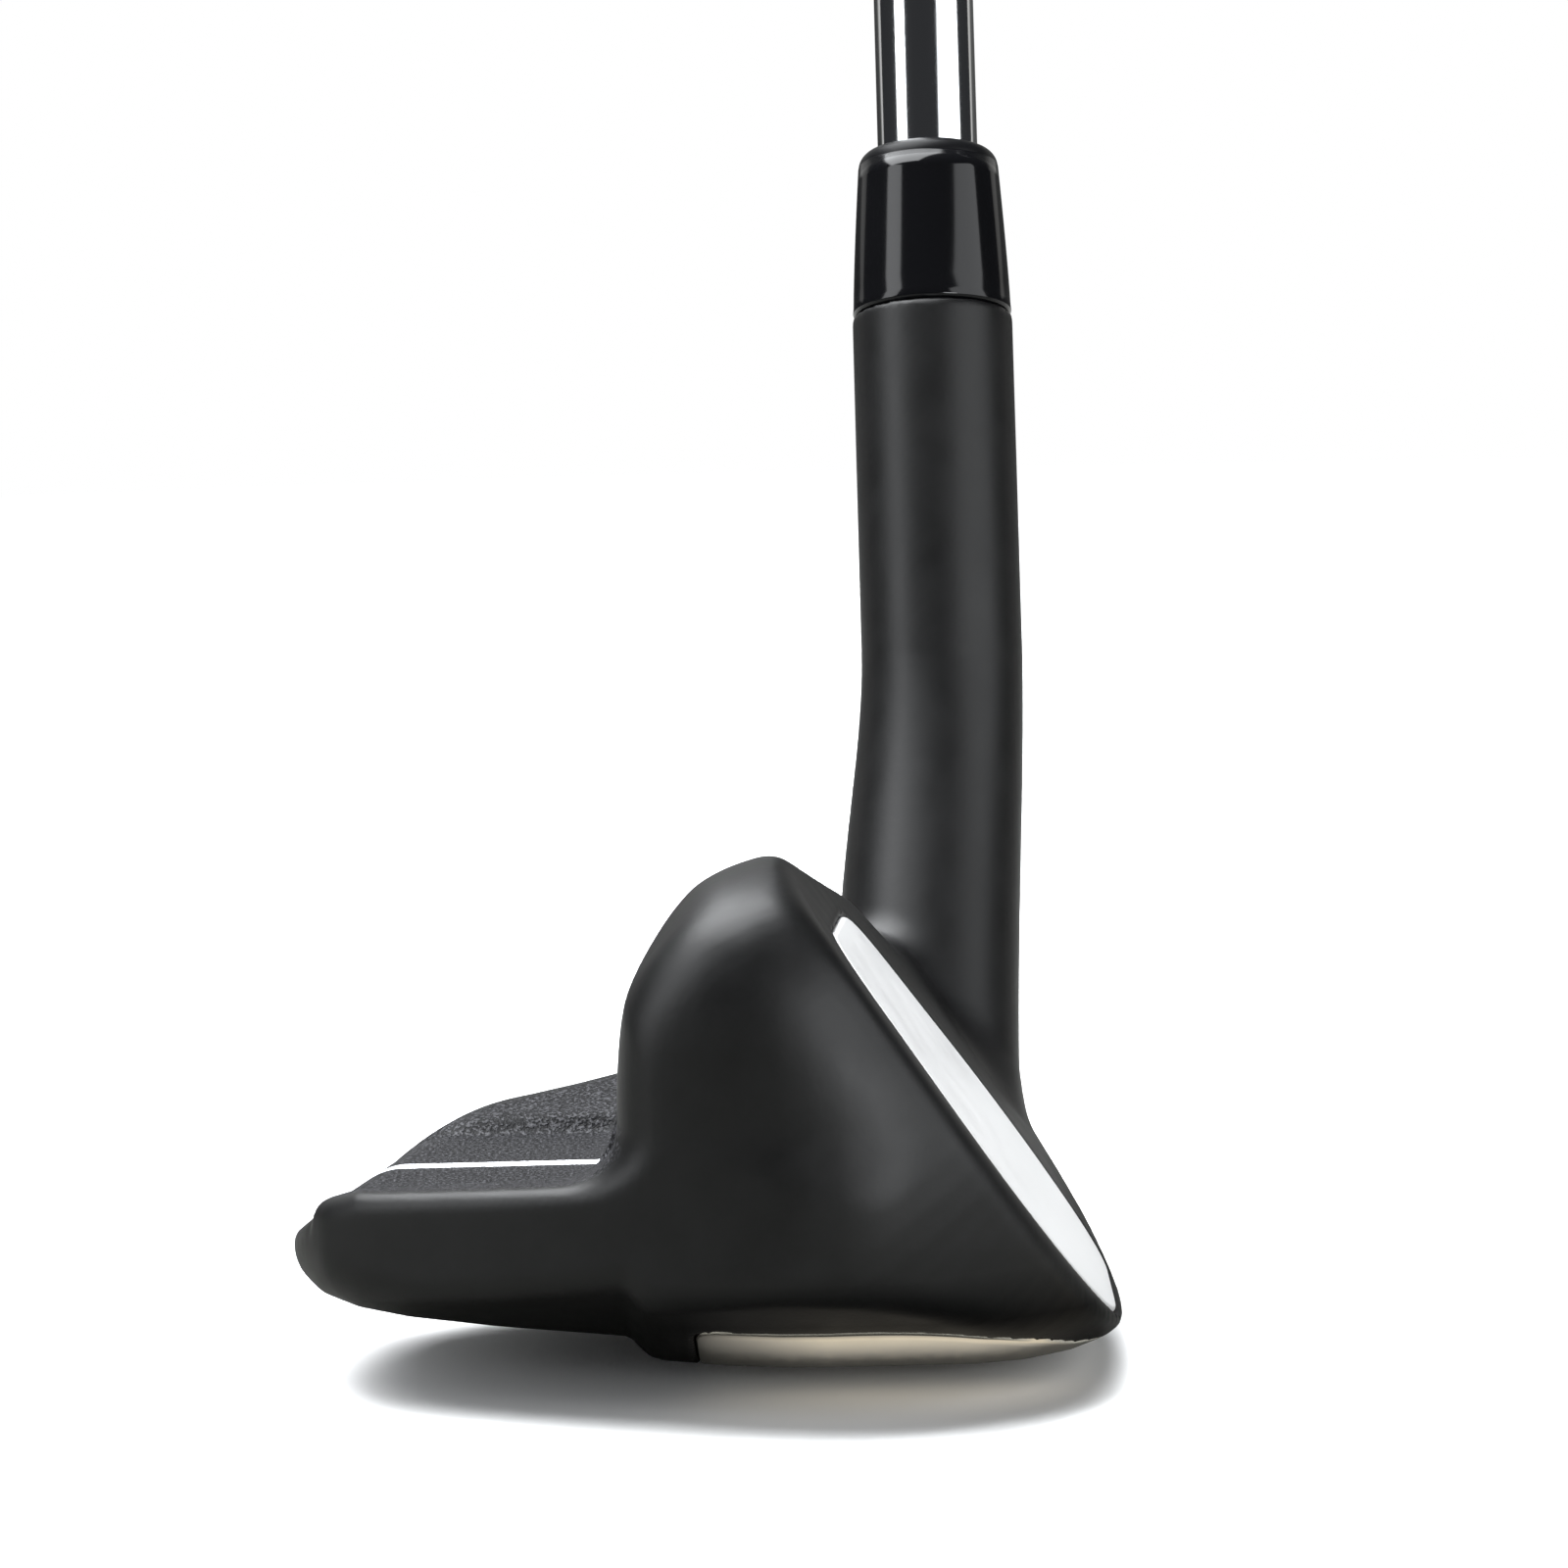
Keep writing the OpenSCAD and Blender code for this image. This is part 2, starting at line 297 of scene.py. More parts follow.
BLADE_OUTLINE = rounded(
    [
        (34, 114, 0),
        (-40.2, 54, 9),
        (-40.2, 22, 15),
        (-26, 6.5, 12),
        (4, 0.2, 16),
        (29, 4.6, 10),
        (43, 17, 8),
        (46, 120, 0),
    ],
    10,
)
BACK_OUTLINE = rounded(
    [
        (-10.9, 48.2, 5),
        (-14.8, 43.6, 5),
        (-18.2, 36.5, 6),
        (-19.1, 29.3, 4),
        (-19.1, -10, 0),
        (32, -10, 0),
        (32, 60.3, 0),
    ],
    10,
)
PLAN_OUTLINE = rounded(
    [
        (32, -40.3, 2),
        (-2, -40.4, 30),
        (-22, -33, 60),
        (-43.6, -20.4, 9),
        (-46.3, -15.5, 3),
        (-49.4, -6, 8),
        (-44.8, 14, 9),
        (-36.6, 20.5, 8),
        (-17, 32.5, 12),
        (-4, 48, 12),
        (32, 48, 2),
    ],
    10,
)
PLATE_OUTLINE = rounded(
    [(-13, -30.2, 2.5), (13, -31, 13), (22.4, -14, 12), (23, 6, 12), (12, 29, 14), (-12, 29, 3)], 10
)
INSERT_OUTLINE = rounded(
    [(-29.8, 49.3, 7), (3, 46.7, 7), (17.5, 22.1, 10), (15, 6.7, 9), (-17, 6.3, 9), (-30.5, 20.1, 12)], 10
)
SOLE_PROFILE = np.array(
    [
        (-49.8, 15),
        (-48.9, 12),
        (-47.6, 9.4),
        (-45.2, 7.5),
        (-42, 6.15),
        (-37.6, 5.2),
        (-30, 4.2),
        (-18.9, 3.1),
        (-17.2, 1.35),
        (-16, 0.95),
        (-11, 0.42),
        (-6, 0.1),
        (-2, 0),
        (11, 0),
        (15, 0.28),
        (19, 1.0),
        (22, 2.1),
        (32, 7.8),
    ]
)
# Control points of the neck's curved middle line, each with its radius.
NECK_TOP = 57
NECK = np.array([(10.6, 56, 56.5, 7.5), (10.7, 51.8, 44.2, 7.4), (7.6, 45, 31, 9.1), (8.6, 36, 18, 7.9)])
# The rear slope of the flange starts at a crest that is turned a little, seen from above.
CREST_X = -40
CREST_TURN = math.radians(12)
SLOPE = math.tan(math.radians(36.6))
# The sides of the blade run back from the face along lines that fall by this angle, in degrees.
SIDE_FALL = 30
# The top of the blade falls toward the heel, from the toe's end on.
TOP_FALL = 0.3
TOP_PEAK_Y = -28
# The toe rolls gently toward the face over this depth.
ROLL_DEPTH = 16
TOE_ROLL = 0.02
# Clearance round the insert and the sole plate, and behind them.
INSERT_GAP = 0.16
PLATE_GAP = 0.12
FILM_T = 0.2
PLATE_FILM_T = 0.15


def sole_height(x):
    """Height of the sole's middle line, its corners softened."""
    x = np.asarray(x, float)
    return sum(
        w * np.interp(x + d, SOLE_PROFILE[:, 0], SOLE_PROFILE[:, 1])
        for d, w in ((-0.3, 0.25), (0, 0.5), (0.3, 0.25))
    )


def sole_z(x, y):
    """Height of the sole's surface."""
    reach = CAMBER_R - sole_height(x)
    return CAMBER_R - np.sqrt(np.maximum(reach**2 - np.asarray(y) ** 2, 1))


def deck_z(x, y):
    """Height of the flange's top: a channel between two raised decks, ending in a turned slope."""
    x, y = np.broadcast_arrays(np.asarray(x, float), np.asarray(y, float))
    low = np.interp(x, [-52, -46, -41.6, -19], [13.2, 16.6, 17.75, 18.5])
    outer = low + y * y / 400
    behind = (x - CREST_X) * math.cos(CREST_TURN) - y * math.sin(CREST_TURN)
    slope = DECK_Z + SLOPE * behind
    floor = smooth_min(np.full(x.shape, DECK_Z), slope, 1.2)
    heel = smooth_min(outer, slope + 0.3, 2.0)
    toe_wall = smoothstep(-CHANNEL_HALF + 0.5, -CHANNEL_HALF - 0.7, y)
    heel_wall = smoothstep(CHANNEL_HALF - 0.6, CHANNEL_HALF + 1.5, y)
    return floor * (1 - toe_wall) * (1 - heel_wall) + outer * toe_wall + heel * heel_wall


def neck_distance(x, y, z):
    """Distances to the neck with the straight hosel above it, to the shaft's axis, and the place along it."""
    t = np.linspace(0, 1, 25)[:, None]
    path = (1 - t) ** 3 * NECK[0] + 3 * t * (1 - t) ** 2 * NECK[1]
    path = path + 3 * t**2 * (1 - t) * NECK[2] + t**3 * NECK[3]
    px, py, pz = x - SHAFT_FOOT[0], y - SHAFT_FOOT[1], z
    s = py * AXIS[1] + pz * AXIS[2]
    off = np.sqrt(px**2 + (py - s * AXIS[1]) ** 2 + (pz - s * AXIS[2]) ** 2)
    best = np.maximum(off - HOSEL_R, NECK_TOP - s)
    for a, b in zip(path[:-1], path[1:]):
        d = b[:3] - a[:3]
        t = np.clip(((x - a[0]) * d[0] + (y - a[1]) * d[1] + (z - a[2]) * d[2]) / (d @ d), 0, 1)
        near = np.sqrt((x - a[0] - t * d[0]) ** 2 + (y - a[1] - t * d[1]) ** 2 + (z - a[2] - t * d[2]) ** 2)
        best = np.minimum(best, near - (a[3] + t * (b[3] - a[3])))
    return best, off, s


def head_field(step):
    """Distance-like field of the head on a grid, with its origin."""
    low, high = np.array([-50.5, -42.5, -1.5]), np.array([26.5, 76.5, 91.5])
    n = np.ceil((high - low) / step).astype(int)
    xs, ys, zs = (low[d] + step * np.arange(n[d]) for d in range(3))
    x, y, z = (a.astype(np.float32) for a in (xs[:, None, None], ys[None, :, None], zs[None, None, :]))
    cos_l, sin_l = math.cos(LOFT), math.sin(LOFT)
    face = x * cos_l + z * sin_l - FACE_C
    plain_up = -x * sin_l + z * cos_l + FACE_C * math.tan(LOFT)

    def swept(fall):
        """Depth behind the face and place up it, along lines that fall backward at this angle."""
        deep = -face / math.cos(LOFT - math.radians(fall))
        return deep, plain_up - deep * math.sin(LOFT - math.radians(fall))

    x_rows, y_rows = np.arange(n[0])[:, None, None], np.arange(n[1])[None, :, None]
    depth, up = swept(SIDE_FALL)
    side = Table(BLADE_OUTLINE, ys, -60, 125).read(y_rows, up)
    toe_roll = TOE_ROLL * np.maximum(ROLL_DEPTH - depth, 0) ** 2
    side = side + toe_roll * smoothstep(5, -25, y) * smoothstep(0, 24, up)
    back = Table(BACK_OUTLINE, xs, -40, 110).read(x_rows, z + TOP_FALL * (y - TOP_PEAK_Y))
    plan = outline_distance(PLAN_OUTLINE, xs[:, None], ys[None, :])[:, :, None]
    # The blade's edges are rounder at its top, and at the face's heel end, than elsewhere.
    blade = smooth_max(side, back, 2.8 + 7.0 * smoothstep(29, 41, z))
    toe_side, heel_side = smoothstep(-20, -33, y), smoothstep(12, 28, y)
    ease = 1.4 + 0.6 * toe_side + 5.0 * heel_side + 0.6 * smoothstep(44, 52, plain_up)
    blade = smooth_max(blade, face, ease)
    deck = deck_z(xs[:, None], ys[None, :])
    gx, gy = np.gradient(deck, step)
    deck_lean = 1 / np.sqrt(1 + gx**2 + gy**2)
    top = ((z - deck[:, :, None]) * deck_lean[:, :, None]).astype(np.float32)
    flange = smooth_max(top, x + 6, 1.0)
    # The hollow between blade and flange is wide along the toe's rim and tight in the channel.
    head = smooth_min(blade, flange, 5.5 - 3.0 * smoothstep(-16, -9, y))
    rim = 1.2 + 0.9 * smoothstep(-15, -18, y) + 2.4 * smoothstep(19, 26, z)
    head = smooth_max(head, plan, rim)
    reach = (CAMBER_R - sole_height(xs)).astype(np.float32)
    lean = 1 / np.sqrt(1 + np.gradient(reach, step) ** 2)
    sole = np.sqrt(y**2 + (CAMBER_R - z) ** 2) - reach[:, None, None]
    sole = sole * lean[:, None, None].astype(np.float32)
    softness = 1.6 + 1.4 * smoothstep(-34, -46, x)
    head = smooth_max(head, sole, softness)
    # The neck and its bore touch only the heel corner of the grid.
    i, j = int((-12 - low[0]) / step), int((8 - low[1]) / step)
    corner = head[i:, j:]
    neck, off, s = neck_distance(x[i:], y[:, j:], z)
    corner = smooth_min(corner, neck, 2.6)
    corner = smooth_max(corner, s - HOSEL_TOP, 0.5)
    bore = np.maximum(off - BORE_R, HOSEL_TOP - BORE_DEPTH - s)
    head[i:, j:] = np.maximum(corner, -bore)
    pocket = Table(INSERT_OUTLINE, ys, -60, 110).read(y_rows, plain_up) - INSERT_GAP
    pocket = np.maximum(pocket, -(face + INSERT_T + FILM_T))
    head = smooth_max(head, -pocket, 0.5)
    plate = outline_distance(PLATE_OUTLINE, xs[:, None], ys[None, :])[:, :, None] - PLATE_GAP
    plate = np.maximum(plate, -(sole + PLATE_T + PLATE_FILM_T))
    head = smooth_max(head, -plate, 0.3)
    return head.astype(np.float32), low


HEAD_STEP = 0.42
HEAD_FIELD = (*head_field(HEAD_STEP), HEAD_STEP)


def build_head():
    verts, quads = surface_net(*HEAD_FIELD)
    obj = mesh_object("head_shell", verts, quads)
    # How coarse the cast skin is at each point: only the blasted top of the flange is coarse, up to the
    # blade's back and including the hollow between them.
    x, y, z = verts.T
    coarse = np.clip(-outline_distance(PLAN_OUTLINE, x, y) - 1.1, 0, 1)
    hollow = np.where(x > -24.5, 3.5, 0)
    coarse *= 1 - smoothstep(0.5, 2.2, np.abs(z - deck_z(x, y)) - hollow)
    coarse *= smoothstep(-18.4, -19.3, x)
    layer = obj.data.attributes.new("coarse", "FLOAT", "POINT")
    layer.data.foreach_set("value", coarse.astype(np.float32))
    return obj


def from_face(y, up, out):
    """Points from places on the face: y across it, up it and out of it."""
    cos_l, sin_l = math.cos(LOFT), math.sin(LOFT)
    foot = FACE_C / cos_l
    return np.stack([foot - up * sin_l + out * cos_l, y, up * cos_l + out * sin_l], -1)


def inset_ring(ring, amount):
    """The ring moved inwards along its own normals."""
    ahead, behind = np.roll(ring, -1, 0), np.roll(ring, 1, 0)
    along = ahead - behind
    along /= np.linalg.norm(along, axis=1, keepdims=True)
    normal = np.stack([along[:, 1], -along[:, 0]], 1)
    middle = ring.mean(0)
    if ((middle - ring) * normal).sum() < 0:
        normal = -normal
    return ring + normal * amount


def filled_rings(count, layers):
    """Faces joining rings of count points in order, the last closed onto a middle point after them."""
    faces = []
    for i in range(layers - 1):
        for k in range(count):
            m = (k + 1) % count
            faces.append((i * count + k, (i + 1) * count + k, (i + 1) * count + m, i * count + m))
    base = (layers - 1) * count
    for k in range(count):
        faces.append((base + (k + 1) % count, base + k, layers * count))
    return faces


def shrunk(ring, t):
    """The ring drawn towards its middle by t, from 0 to 1."""
    return ring + (ring.mean(0) - ring) * t


def build_insert():
    """Face insert: a slab with a softly rounded rim, filling its pocket."""
    ring = even(INSERT_OUTLINE, 240)
    rim = 0.42
    steps = [(0.05, -INSERT_T), (0.0, -INSERT_T + 0.1), (0.0, -rim)]
    steps += [(rim * (1 - math.cos(a)), -rim + rim * math.sin(a)) for a in np.linspace(0.2, math.pi / 2, 6)]
    rings = [(inset_ring(ring, inset), out) for inset, out in steps]
    last = rings[-1][0]
    rings += [(shrunk(last, t), 0.0) for t in (0.1, 0.3, 0.55, 0.8)]
    verts = [from_face(r[:, 0], r[:, 1], np.full(len(r), out)) for r, out in rings]
    middle = ring.mean(0)
    verts.append(from_face(middle[:1], middle[1:], np.zeros(1)))
    count = len(ring)
    faces = filled_rings(count, len(rings))
    back_middle = sum(len(v) for v in verts)
    verts.append(from_face(middle[:1], middle[1:], np.full(1, -INSERT_T)))
    faces += [(k, (k + 1) % count, back_middle) for k in range(count)]
    obj = mesh_object("insert_slab", np.vstack(verts), faces)
    sharpen(obj, 50)
    return obj


def build_sole():
    """Bare sole plate, following the sole's camber, its edge slightly eased."""
    ring = even(PLATE_OUTLINE, 260)
    layers = [(0.3, PLATE_T), (0.0, PLATE_T - 0.2), (0.0, 0.16), (0.05, 0.05), (0.16, 0.0)]
    rings = [(inset_ring(ring, inset), lift) for inset, lift in layers]
    last = rings[-1][0]
    rings += [(shrunk(last, t), 0.0) for t in np.linspace(0, 1, 22)[1:-1]]

    def on_sole(points, lift):
        return np.stack([points[:, 0], points[:, 1], sole_z(points[:, 0], points[:, 1]) + lift], 1)

    middle = ring.mean(0)[None]
    verts = [on_sole(points, lift) for points, lift in rings] + [on_sole(middle, 0.0)]
    count = len(ring)
    faces = filled_rings(count, len(rings))
    # The plate's inner side, closed onto its own middle.
    inner = [shrunk(rings[0][0], t) for t in (0.25, 0.5, 0.75)]
    start = sum(len(v) for v in verts)
    verts += [on_sole(points, PLATE_T) for points in inner + [middle]]
    chain = [np.arange(count)] + [start + i * count + np.arange(count) for i in range(len(inner))]
    for a, b in zip(chain[:-1], chain[1:]):
        for k in range(count):
            m = (k + 1) % count
            faces.append((a[k], a[m], b[m], b[k]))
    tip = start + len(inner) * count
    faces += [(chain[-1][k], chain[-1][(k + 1) % count], tip) for k in range(count)]
    obj = mesh_object("sole_skin", np.vstack(verts), faces)
    sharpen(obj, 50)
    return obj


def surface_height(field, origin, step, x, y):
    """Height of a field's topmost surface over each place, looked for below 30 mm."""
    fx, fy = (np.asarray(x) - origin[0]) / step, (np.asarray(y) - origin[1]) / step
    i, j = np.floor(fx).astype(int), np.floor(fy).astype(int)
    fx, fy = (fx - i)[:, None], (fy - j)[:, None]
    column = (
        field[i, j] * (1 - fx) * (1 - fy)
        + field[i + 1, j] * fx * (1 - fy)
        + field[i, j + 1] * (1 - fx) * fy
        + field[i + 1, j + 1] * fx * fy
    )[:, : int((30 - origin[2]) / step)]
    top = column.shape[1] - 1 - np.argmax(column[:, ::-1] < 0, axis=1)
    rows = np.arange(len(top))
    top = np.minimum(top, column.shape[1] - 2)
    a, b = column[rows, top], column[rows, top + 1]
    return origin[2] + step * (top + a / (a - b))


def build_line():
    """White paint along the channel's floor and down its slope, with slightly ragged edges."""
    rng = np.random.default_rng(7)
    n, w = 330, 9
    xs = np.linspace(-47.5, -21.3, n)
    half_width, thickness = 1.18, 0.3
    across = np.linspace(-1, 1, w)

    def ragged():
        """Small uneven steps along one edge."""
        return np.convolve(rng.normal(0, 0.085, n + 4), np.ones(3) / 3, "valid")[:n]

    toe_edge, heel_edge = -half_width + ragged(), half_width + ragged()
    verts = []
    for x, left, right in zip(xs, toe_edge, heel_edge):
        y = left + (across + 1) / 2 * (right - left)
        base = np.minimum(surface_height(*HEAD_FIELD, np.full(w, x), y), DECK_Z + 0.12)
        rise = 0.05 * (1 - across**4)
        verts.append(np.stack([np.full(w, x), y, base + rise], 1))
    verts += [row - np.array([0, 0, thickness]) for row in verts]
    verts = np.array(verts)
    # The top rows come first, then the same rows under them.
    faces = []
    for i in range(n - 1):
        for k in range(w - 1):
            a, b = i * w + k, (i + 1) * w + k
            faces.append((a, b, b + 1, a + 1))
            c, d = a + n * w, b + n * w
            faces.append((c, c + 1, d + 1, d))
        for k, turn in ((0, False), (w - 1, True)):
            a, b = i * w + k, (i + 1) * w + k
            quad = (a, a + n * w, b + n * w, b)
            faces.append(quad[::-1] if turn else quad)
    for i, turn in ((0, True), (n - 1, False)):
        for k in range(w - 1):
            a = i * w + k
            quad = (a, a + n * w, a + 1 + n * w, a + 1)
            faces.append(quad[::-1] if turn else quad)
    obj = mesh_object("paint_line", verts.reshape(-1, 3), faces)
    sharpen(obj, 60)
    return obj


# ---------- ferrule, shaft, band and grip ----------

STEPS = 12
BUTT_S = CLUB_L - 4
GRIP_MOUTH = BUTT_S - 263
GRIP_END = BUTT_S - 5
FIRST_STEP, LAST_STEP = 330, GRIP_MOUTH - 15
TIP_S = HOSEL_TOP - BORE_DEPTH + 1
TUBE_WALL = 0.5


def build_ferrule():
    """Black collar, tapered a little, its top end rounded over to the shaft."""
    r, s = HOSEL_R, HOSEL_TOP
    wall = [(r - 0.30, s + 0.02), (r - 0.12, s + 0.16), (r - 0.06, s + 0.4), (r - 0.12, s + 1.0)]
    wall += [(r - 0.12 - 0.78 * t**1.25, s + 1 + (FERRULE_L - 2.6) * t) for t in np.linspace(0.1, 1, 10)]
    top = arc(r - 2.53, s + FERRULE_L - 1.6, 1.6, 0, 80, 12)
    lip = [(TIP_R + 0.16, s + FERRULE_L), (TIP_R + 0.05, s + FERRULE_L - 0.1)]
    inner = [(TIP_R + 0.01, s + FERRULE_L - 0.4), (TIP_R + 0.01, s + 0.02)]
    profile, around = wall + top + lip + inner, 160
    obj = lathe("ferrule_collar", profile, around)
    # Its top end is turned down and stays duller than its polished side.
    turned = smoothstep(s + FERRULE_L - 1.7, s + FERRULE_L - 1.3, np.array(profile)[:, 1])
    layer = obj.data.attributes.new("turned", "FLOAT", "POINT")
    layer.data.foreach_set("value", np.repeat(turned, around).astype(np.float32))
    return obj


def build_shaft():
    """Hollow chromed tube that grows by equal steps from tip to butt."""
    radius = [TIP_R + (BUTT_R - TIP_R) * i / STEPS for i in range(STEPS + 1)]
    gap = (LAST_STEP - FIRST_STEP) / (STEPS - 1)
    outer = [(radius[0] - 0.25, TIP_S), (radius[0], TIP_S + 0.3), (radius[0], TIP_S + 2), (radius[0], 200)]
    for i in range(1, STEPS + 1):
        s = FIRST_STEP + (i - 1) * gap
        a, b = radius[i - 1], radius[i]
        outer += [(a, s - 3), (a, s - 0.1), (a + (b - a) * 0.15, s + 0.1), (a + (b - a) * 0.85, s + 0.7)]
        outer += [(b, s + 0.9), (b, s + 4)]
    outer += [(radius[-1], BUTT_S - 0.3), (radius[-1] - 0.2, BUTT_S)]
    inner = [(r - TUBE_WALL, s) for r, s in reversed(outer)]
    inner = [(TIP_R - TUBE_WALL if s <= TIP_S + 0.5 else r, s) for r, s in inner]
    return lathe("shaft_tube", outer + inner, 192)


def build_band():
    """Thin plain film round the shaft below the grip."""
    r, length = BUTT_R, 12
    s = GRIP_MOUTH - length - 2
    low_edge = [(r + 0.005, s), (r + 0.06, s + 0.01), (r + 0.085, s + 0.1)]
    high_edge = [(r + 0.085, s + length - 0.1), (r + 0.06, s + length - 0.01), (r + 0.005, s + length)]
    return lathe("printed_film", low_edge + high_edge, 128)


def grip_radius(s):
    """Outer radius of the grip before its pattern is cut."""
    return np.interp(s, [GRIP_MOUTH, GRIP_MOUTH + 200, GRIP_END], [9.45, 11.75, 13.2])


def build_grip():
    """Rubber sleeve with rings at its ends and a net of slanting cuts between them."""
    start, end = GRIP_MOUTH, GRIP_END
    along = np.arange(start + 2.2, end - 0.4, 0.9)
    twists, turn_rate = 8, 0.30
    cut_depth, ring_depth = 0.34, 0.45

    def cut(angle, s, r):
        """Depth of the grip's pattern: rings at each end and slanting cuts between them."""
        band = smoothstep(start + 16, start + 18, s) * (1 - smoothstep(end - 14, end - 12, s))
        lines = np.zeros_like(s * angle)
        for turn in (1, -1):
            phase = s * turn_rate + turn * angle * twists
            wave = np.abs(((phase / (2 * math.pi)) % 1) - 0.5) * 2
            lines = np.maximum(lines, smoothstep(0.80, 0.95, wave))
        rings = np.zeros_like(s * angle)
        for at in (start + 8, start + 11.5, start + 15, end - 11, end - 7.5, end - 4):
            rings = np.maximum(rings, smoothstep(0.9, 0.35, np.abs(s + 0 * angle - at)))
        outer = (r > BUTT_R + 1).astype(float)
        return -outer * (cut_depth * lines * band + ring_depth * rings)

    lip = [(BUTT_R + 0.05, start + 0.2), (BUTT_R + 0.5, start), (8.9, start), (9.35, start + 0.35)]
    lip += [(9.5, start + 1.0), (9.5, start + 1.8)]
    body = [(float(grip_radius(s)), s) for s in along]
    close = [(13.2, end - 0.2), (13.1, end), (BUTT_R + 0.25, end)]
    close += [(BUTT_R + 0.22, start + 4), (BUTT_R + 0.05, start + 3)]
    return lathe("grip_rubber", lip + body + close, 224, cut)


def build_cap():
    """Rubber cap with a ring groove in its end and a vent hole through it."""
    low, high = GRIP_END, CLUB_L
    vent = 1.6
    rim = [(13.1, low + 0.03), (13.35, low + 0.3), (13.62, low + 1.6), (13.66, low + 3.0)]
    rim += arc(11.0, high - 2.9, 2.65, 5, 88, 10)
    groove = [(9.2, high - 0.22), (8.9, high - 0.32), (8.6, high - 0.60), (8.2, high - 0.62), (7.9, high - 0.32)]
    end = [(7.6, high - 0.25), (4.4, high - 0.12), (vent + 0.5, high - 0.05), (vent + 0.15, high - 0.12)]
    hole = [(vent, high - 0.35), (vent, BUTT_S + 0.02), (BUTT_R + 0.25, BUTT_S + 0.02)]
    return lathe("cap_rubber", [(BUTT_R + 0.25, low + 0.03)] + rim + groove + end + hole, 160)


# ---------- materials ----------


class Nodes:
    """A small builder for procedural materials."""

    def __init__(self, name):
        self.material = bpy.data.materials.new(name)
        self.material.use_nodes = True
        self.tree = self.material.node_tree
        self.bsdf = self.tree.nodes["Principled BSDF"]

    def add(self, kind, **settings):
        node = self.tree.nodes.new(kind)
        for key, value in settings.items():
            if hasattr(node, key) and key not in node.inputs:
                setattr(node, key, value)
            else:
                node.inputs[key].default_value = value
        return node

    def link(self, a, b):
        self.tree.links.new(a, b)

    def place(self, scale=(1, 1, 1)):
        """Object coordinates stretched by scale."""
        coord = self.add("ShaderNodeTexCoord")
        mapping = self.add("ShaderNodeMapping")
        mapping.inputs["Scale"].default_value = scale
        self.link(coord.outputs["Object"], mapping.inputs["Vector"])
        return mapping.outputs["Vector"]

    def noise(self, scale, detail=3, stretch=(1, 1, 1), roughness=0.5):
        node = self.add("ShaderNodeTexNoise", Scale=scale, Detail=detail, Roughness=roughness)
        self.link(self.place(stretch), node.inputs["Vector"])
        return node.outputs["Fac"]

    def ramp(self, value, low, high, a, b):
        """Maps value from low..high onto the range a..b."""
        node = self.add("ShaderNodeMapRange")
        for key, v in (("From Min", low), ("From Max", high), ("To Min", a), ("To Max", b)):
            node.inputs[key].default_value = v
        self.link(value, node.inputs["Value"])
        return node.outputs["Result"]

    def colours(self, value, stops):
        node = self.add("ShaderNodeValToRGB")
        ramp = node.color_ramp
        while len(ramp.elements) < len(stops):
            ramp.elements.new(0.5)
        for element, (at, colour) in zip(ramp.elements, stops):
            element.position = at
            element.color = (*colour, 1)
        self.link(value, node.inputs["Fac"])
        return node.outputs["Color"]

    def mix(self, factor, a, b):
        node = self.add("ShaderNodeMix", data_type="RGBA")
        for socket, v in ((node.inputs[0], factor), (node.inputs[6], a), (node.inputs[7], b)):
            if hasattr(v, "is_output"):
                self.link(v, socket)
            else:
                socket.default_value = v
        return node.outputs[2]

    def maths(self, operation, a, b):
        node = self.add("ShaderNodeMath", operation=operation)
        for socket, v in zip(node.inputs, (a, b)):
            if hasattr(v, "is_output"):
                self.link(v, socket)
            else:
                socket.default_value = v
        return node.outputs[0]

    def blend(self, factor, a, b):
        """Mixes two shaders."""
        node = self.add("ShaderNodeMixShader")
        for socket, v in zip(node.inputs, (factor, a, b)):
            self.link(v, socket)
        return node.outputs[0]

    def bump(self, height, distance, strength=1.0, under=None):
        node = self.add("ShaderNodeBump", Distance=distance)
        if hasattr(strength, "is_output"):
            self.link(strength, node.inputs["Strength"])
        else:
            node.inputs["Strength"].default_value = strength
        self.link(height, node.inputs["Height"])
        if under is not None:
            self.link(under, node.inputs["Normal"])
        return node.outputs["Normal"]

    def set(self, **values):
        for key, v in values.items():
            socket = self.bsdf.inputs[key.replace("_", " ")]
            if hasattr(v, "is_output"):
                self.link(v, socket)
            else:
                socket.default_value = v
        return self.material


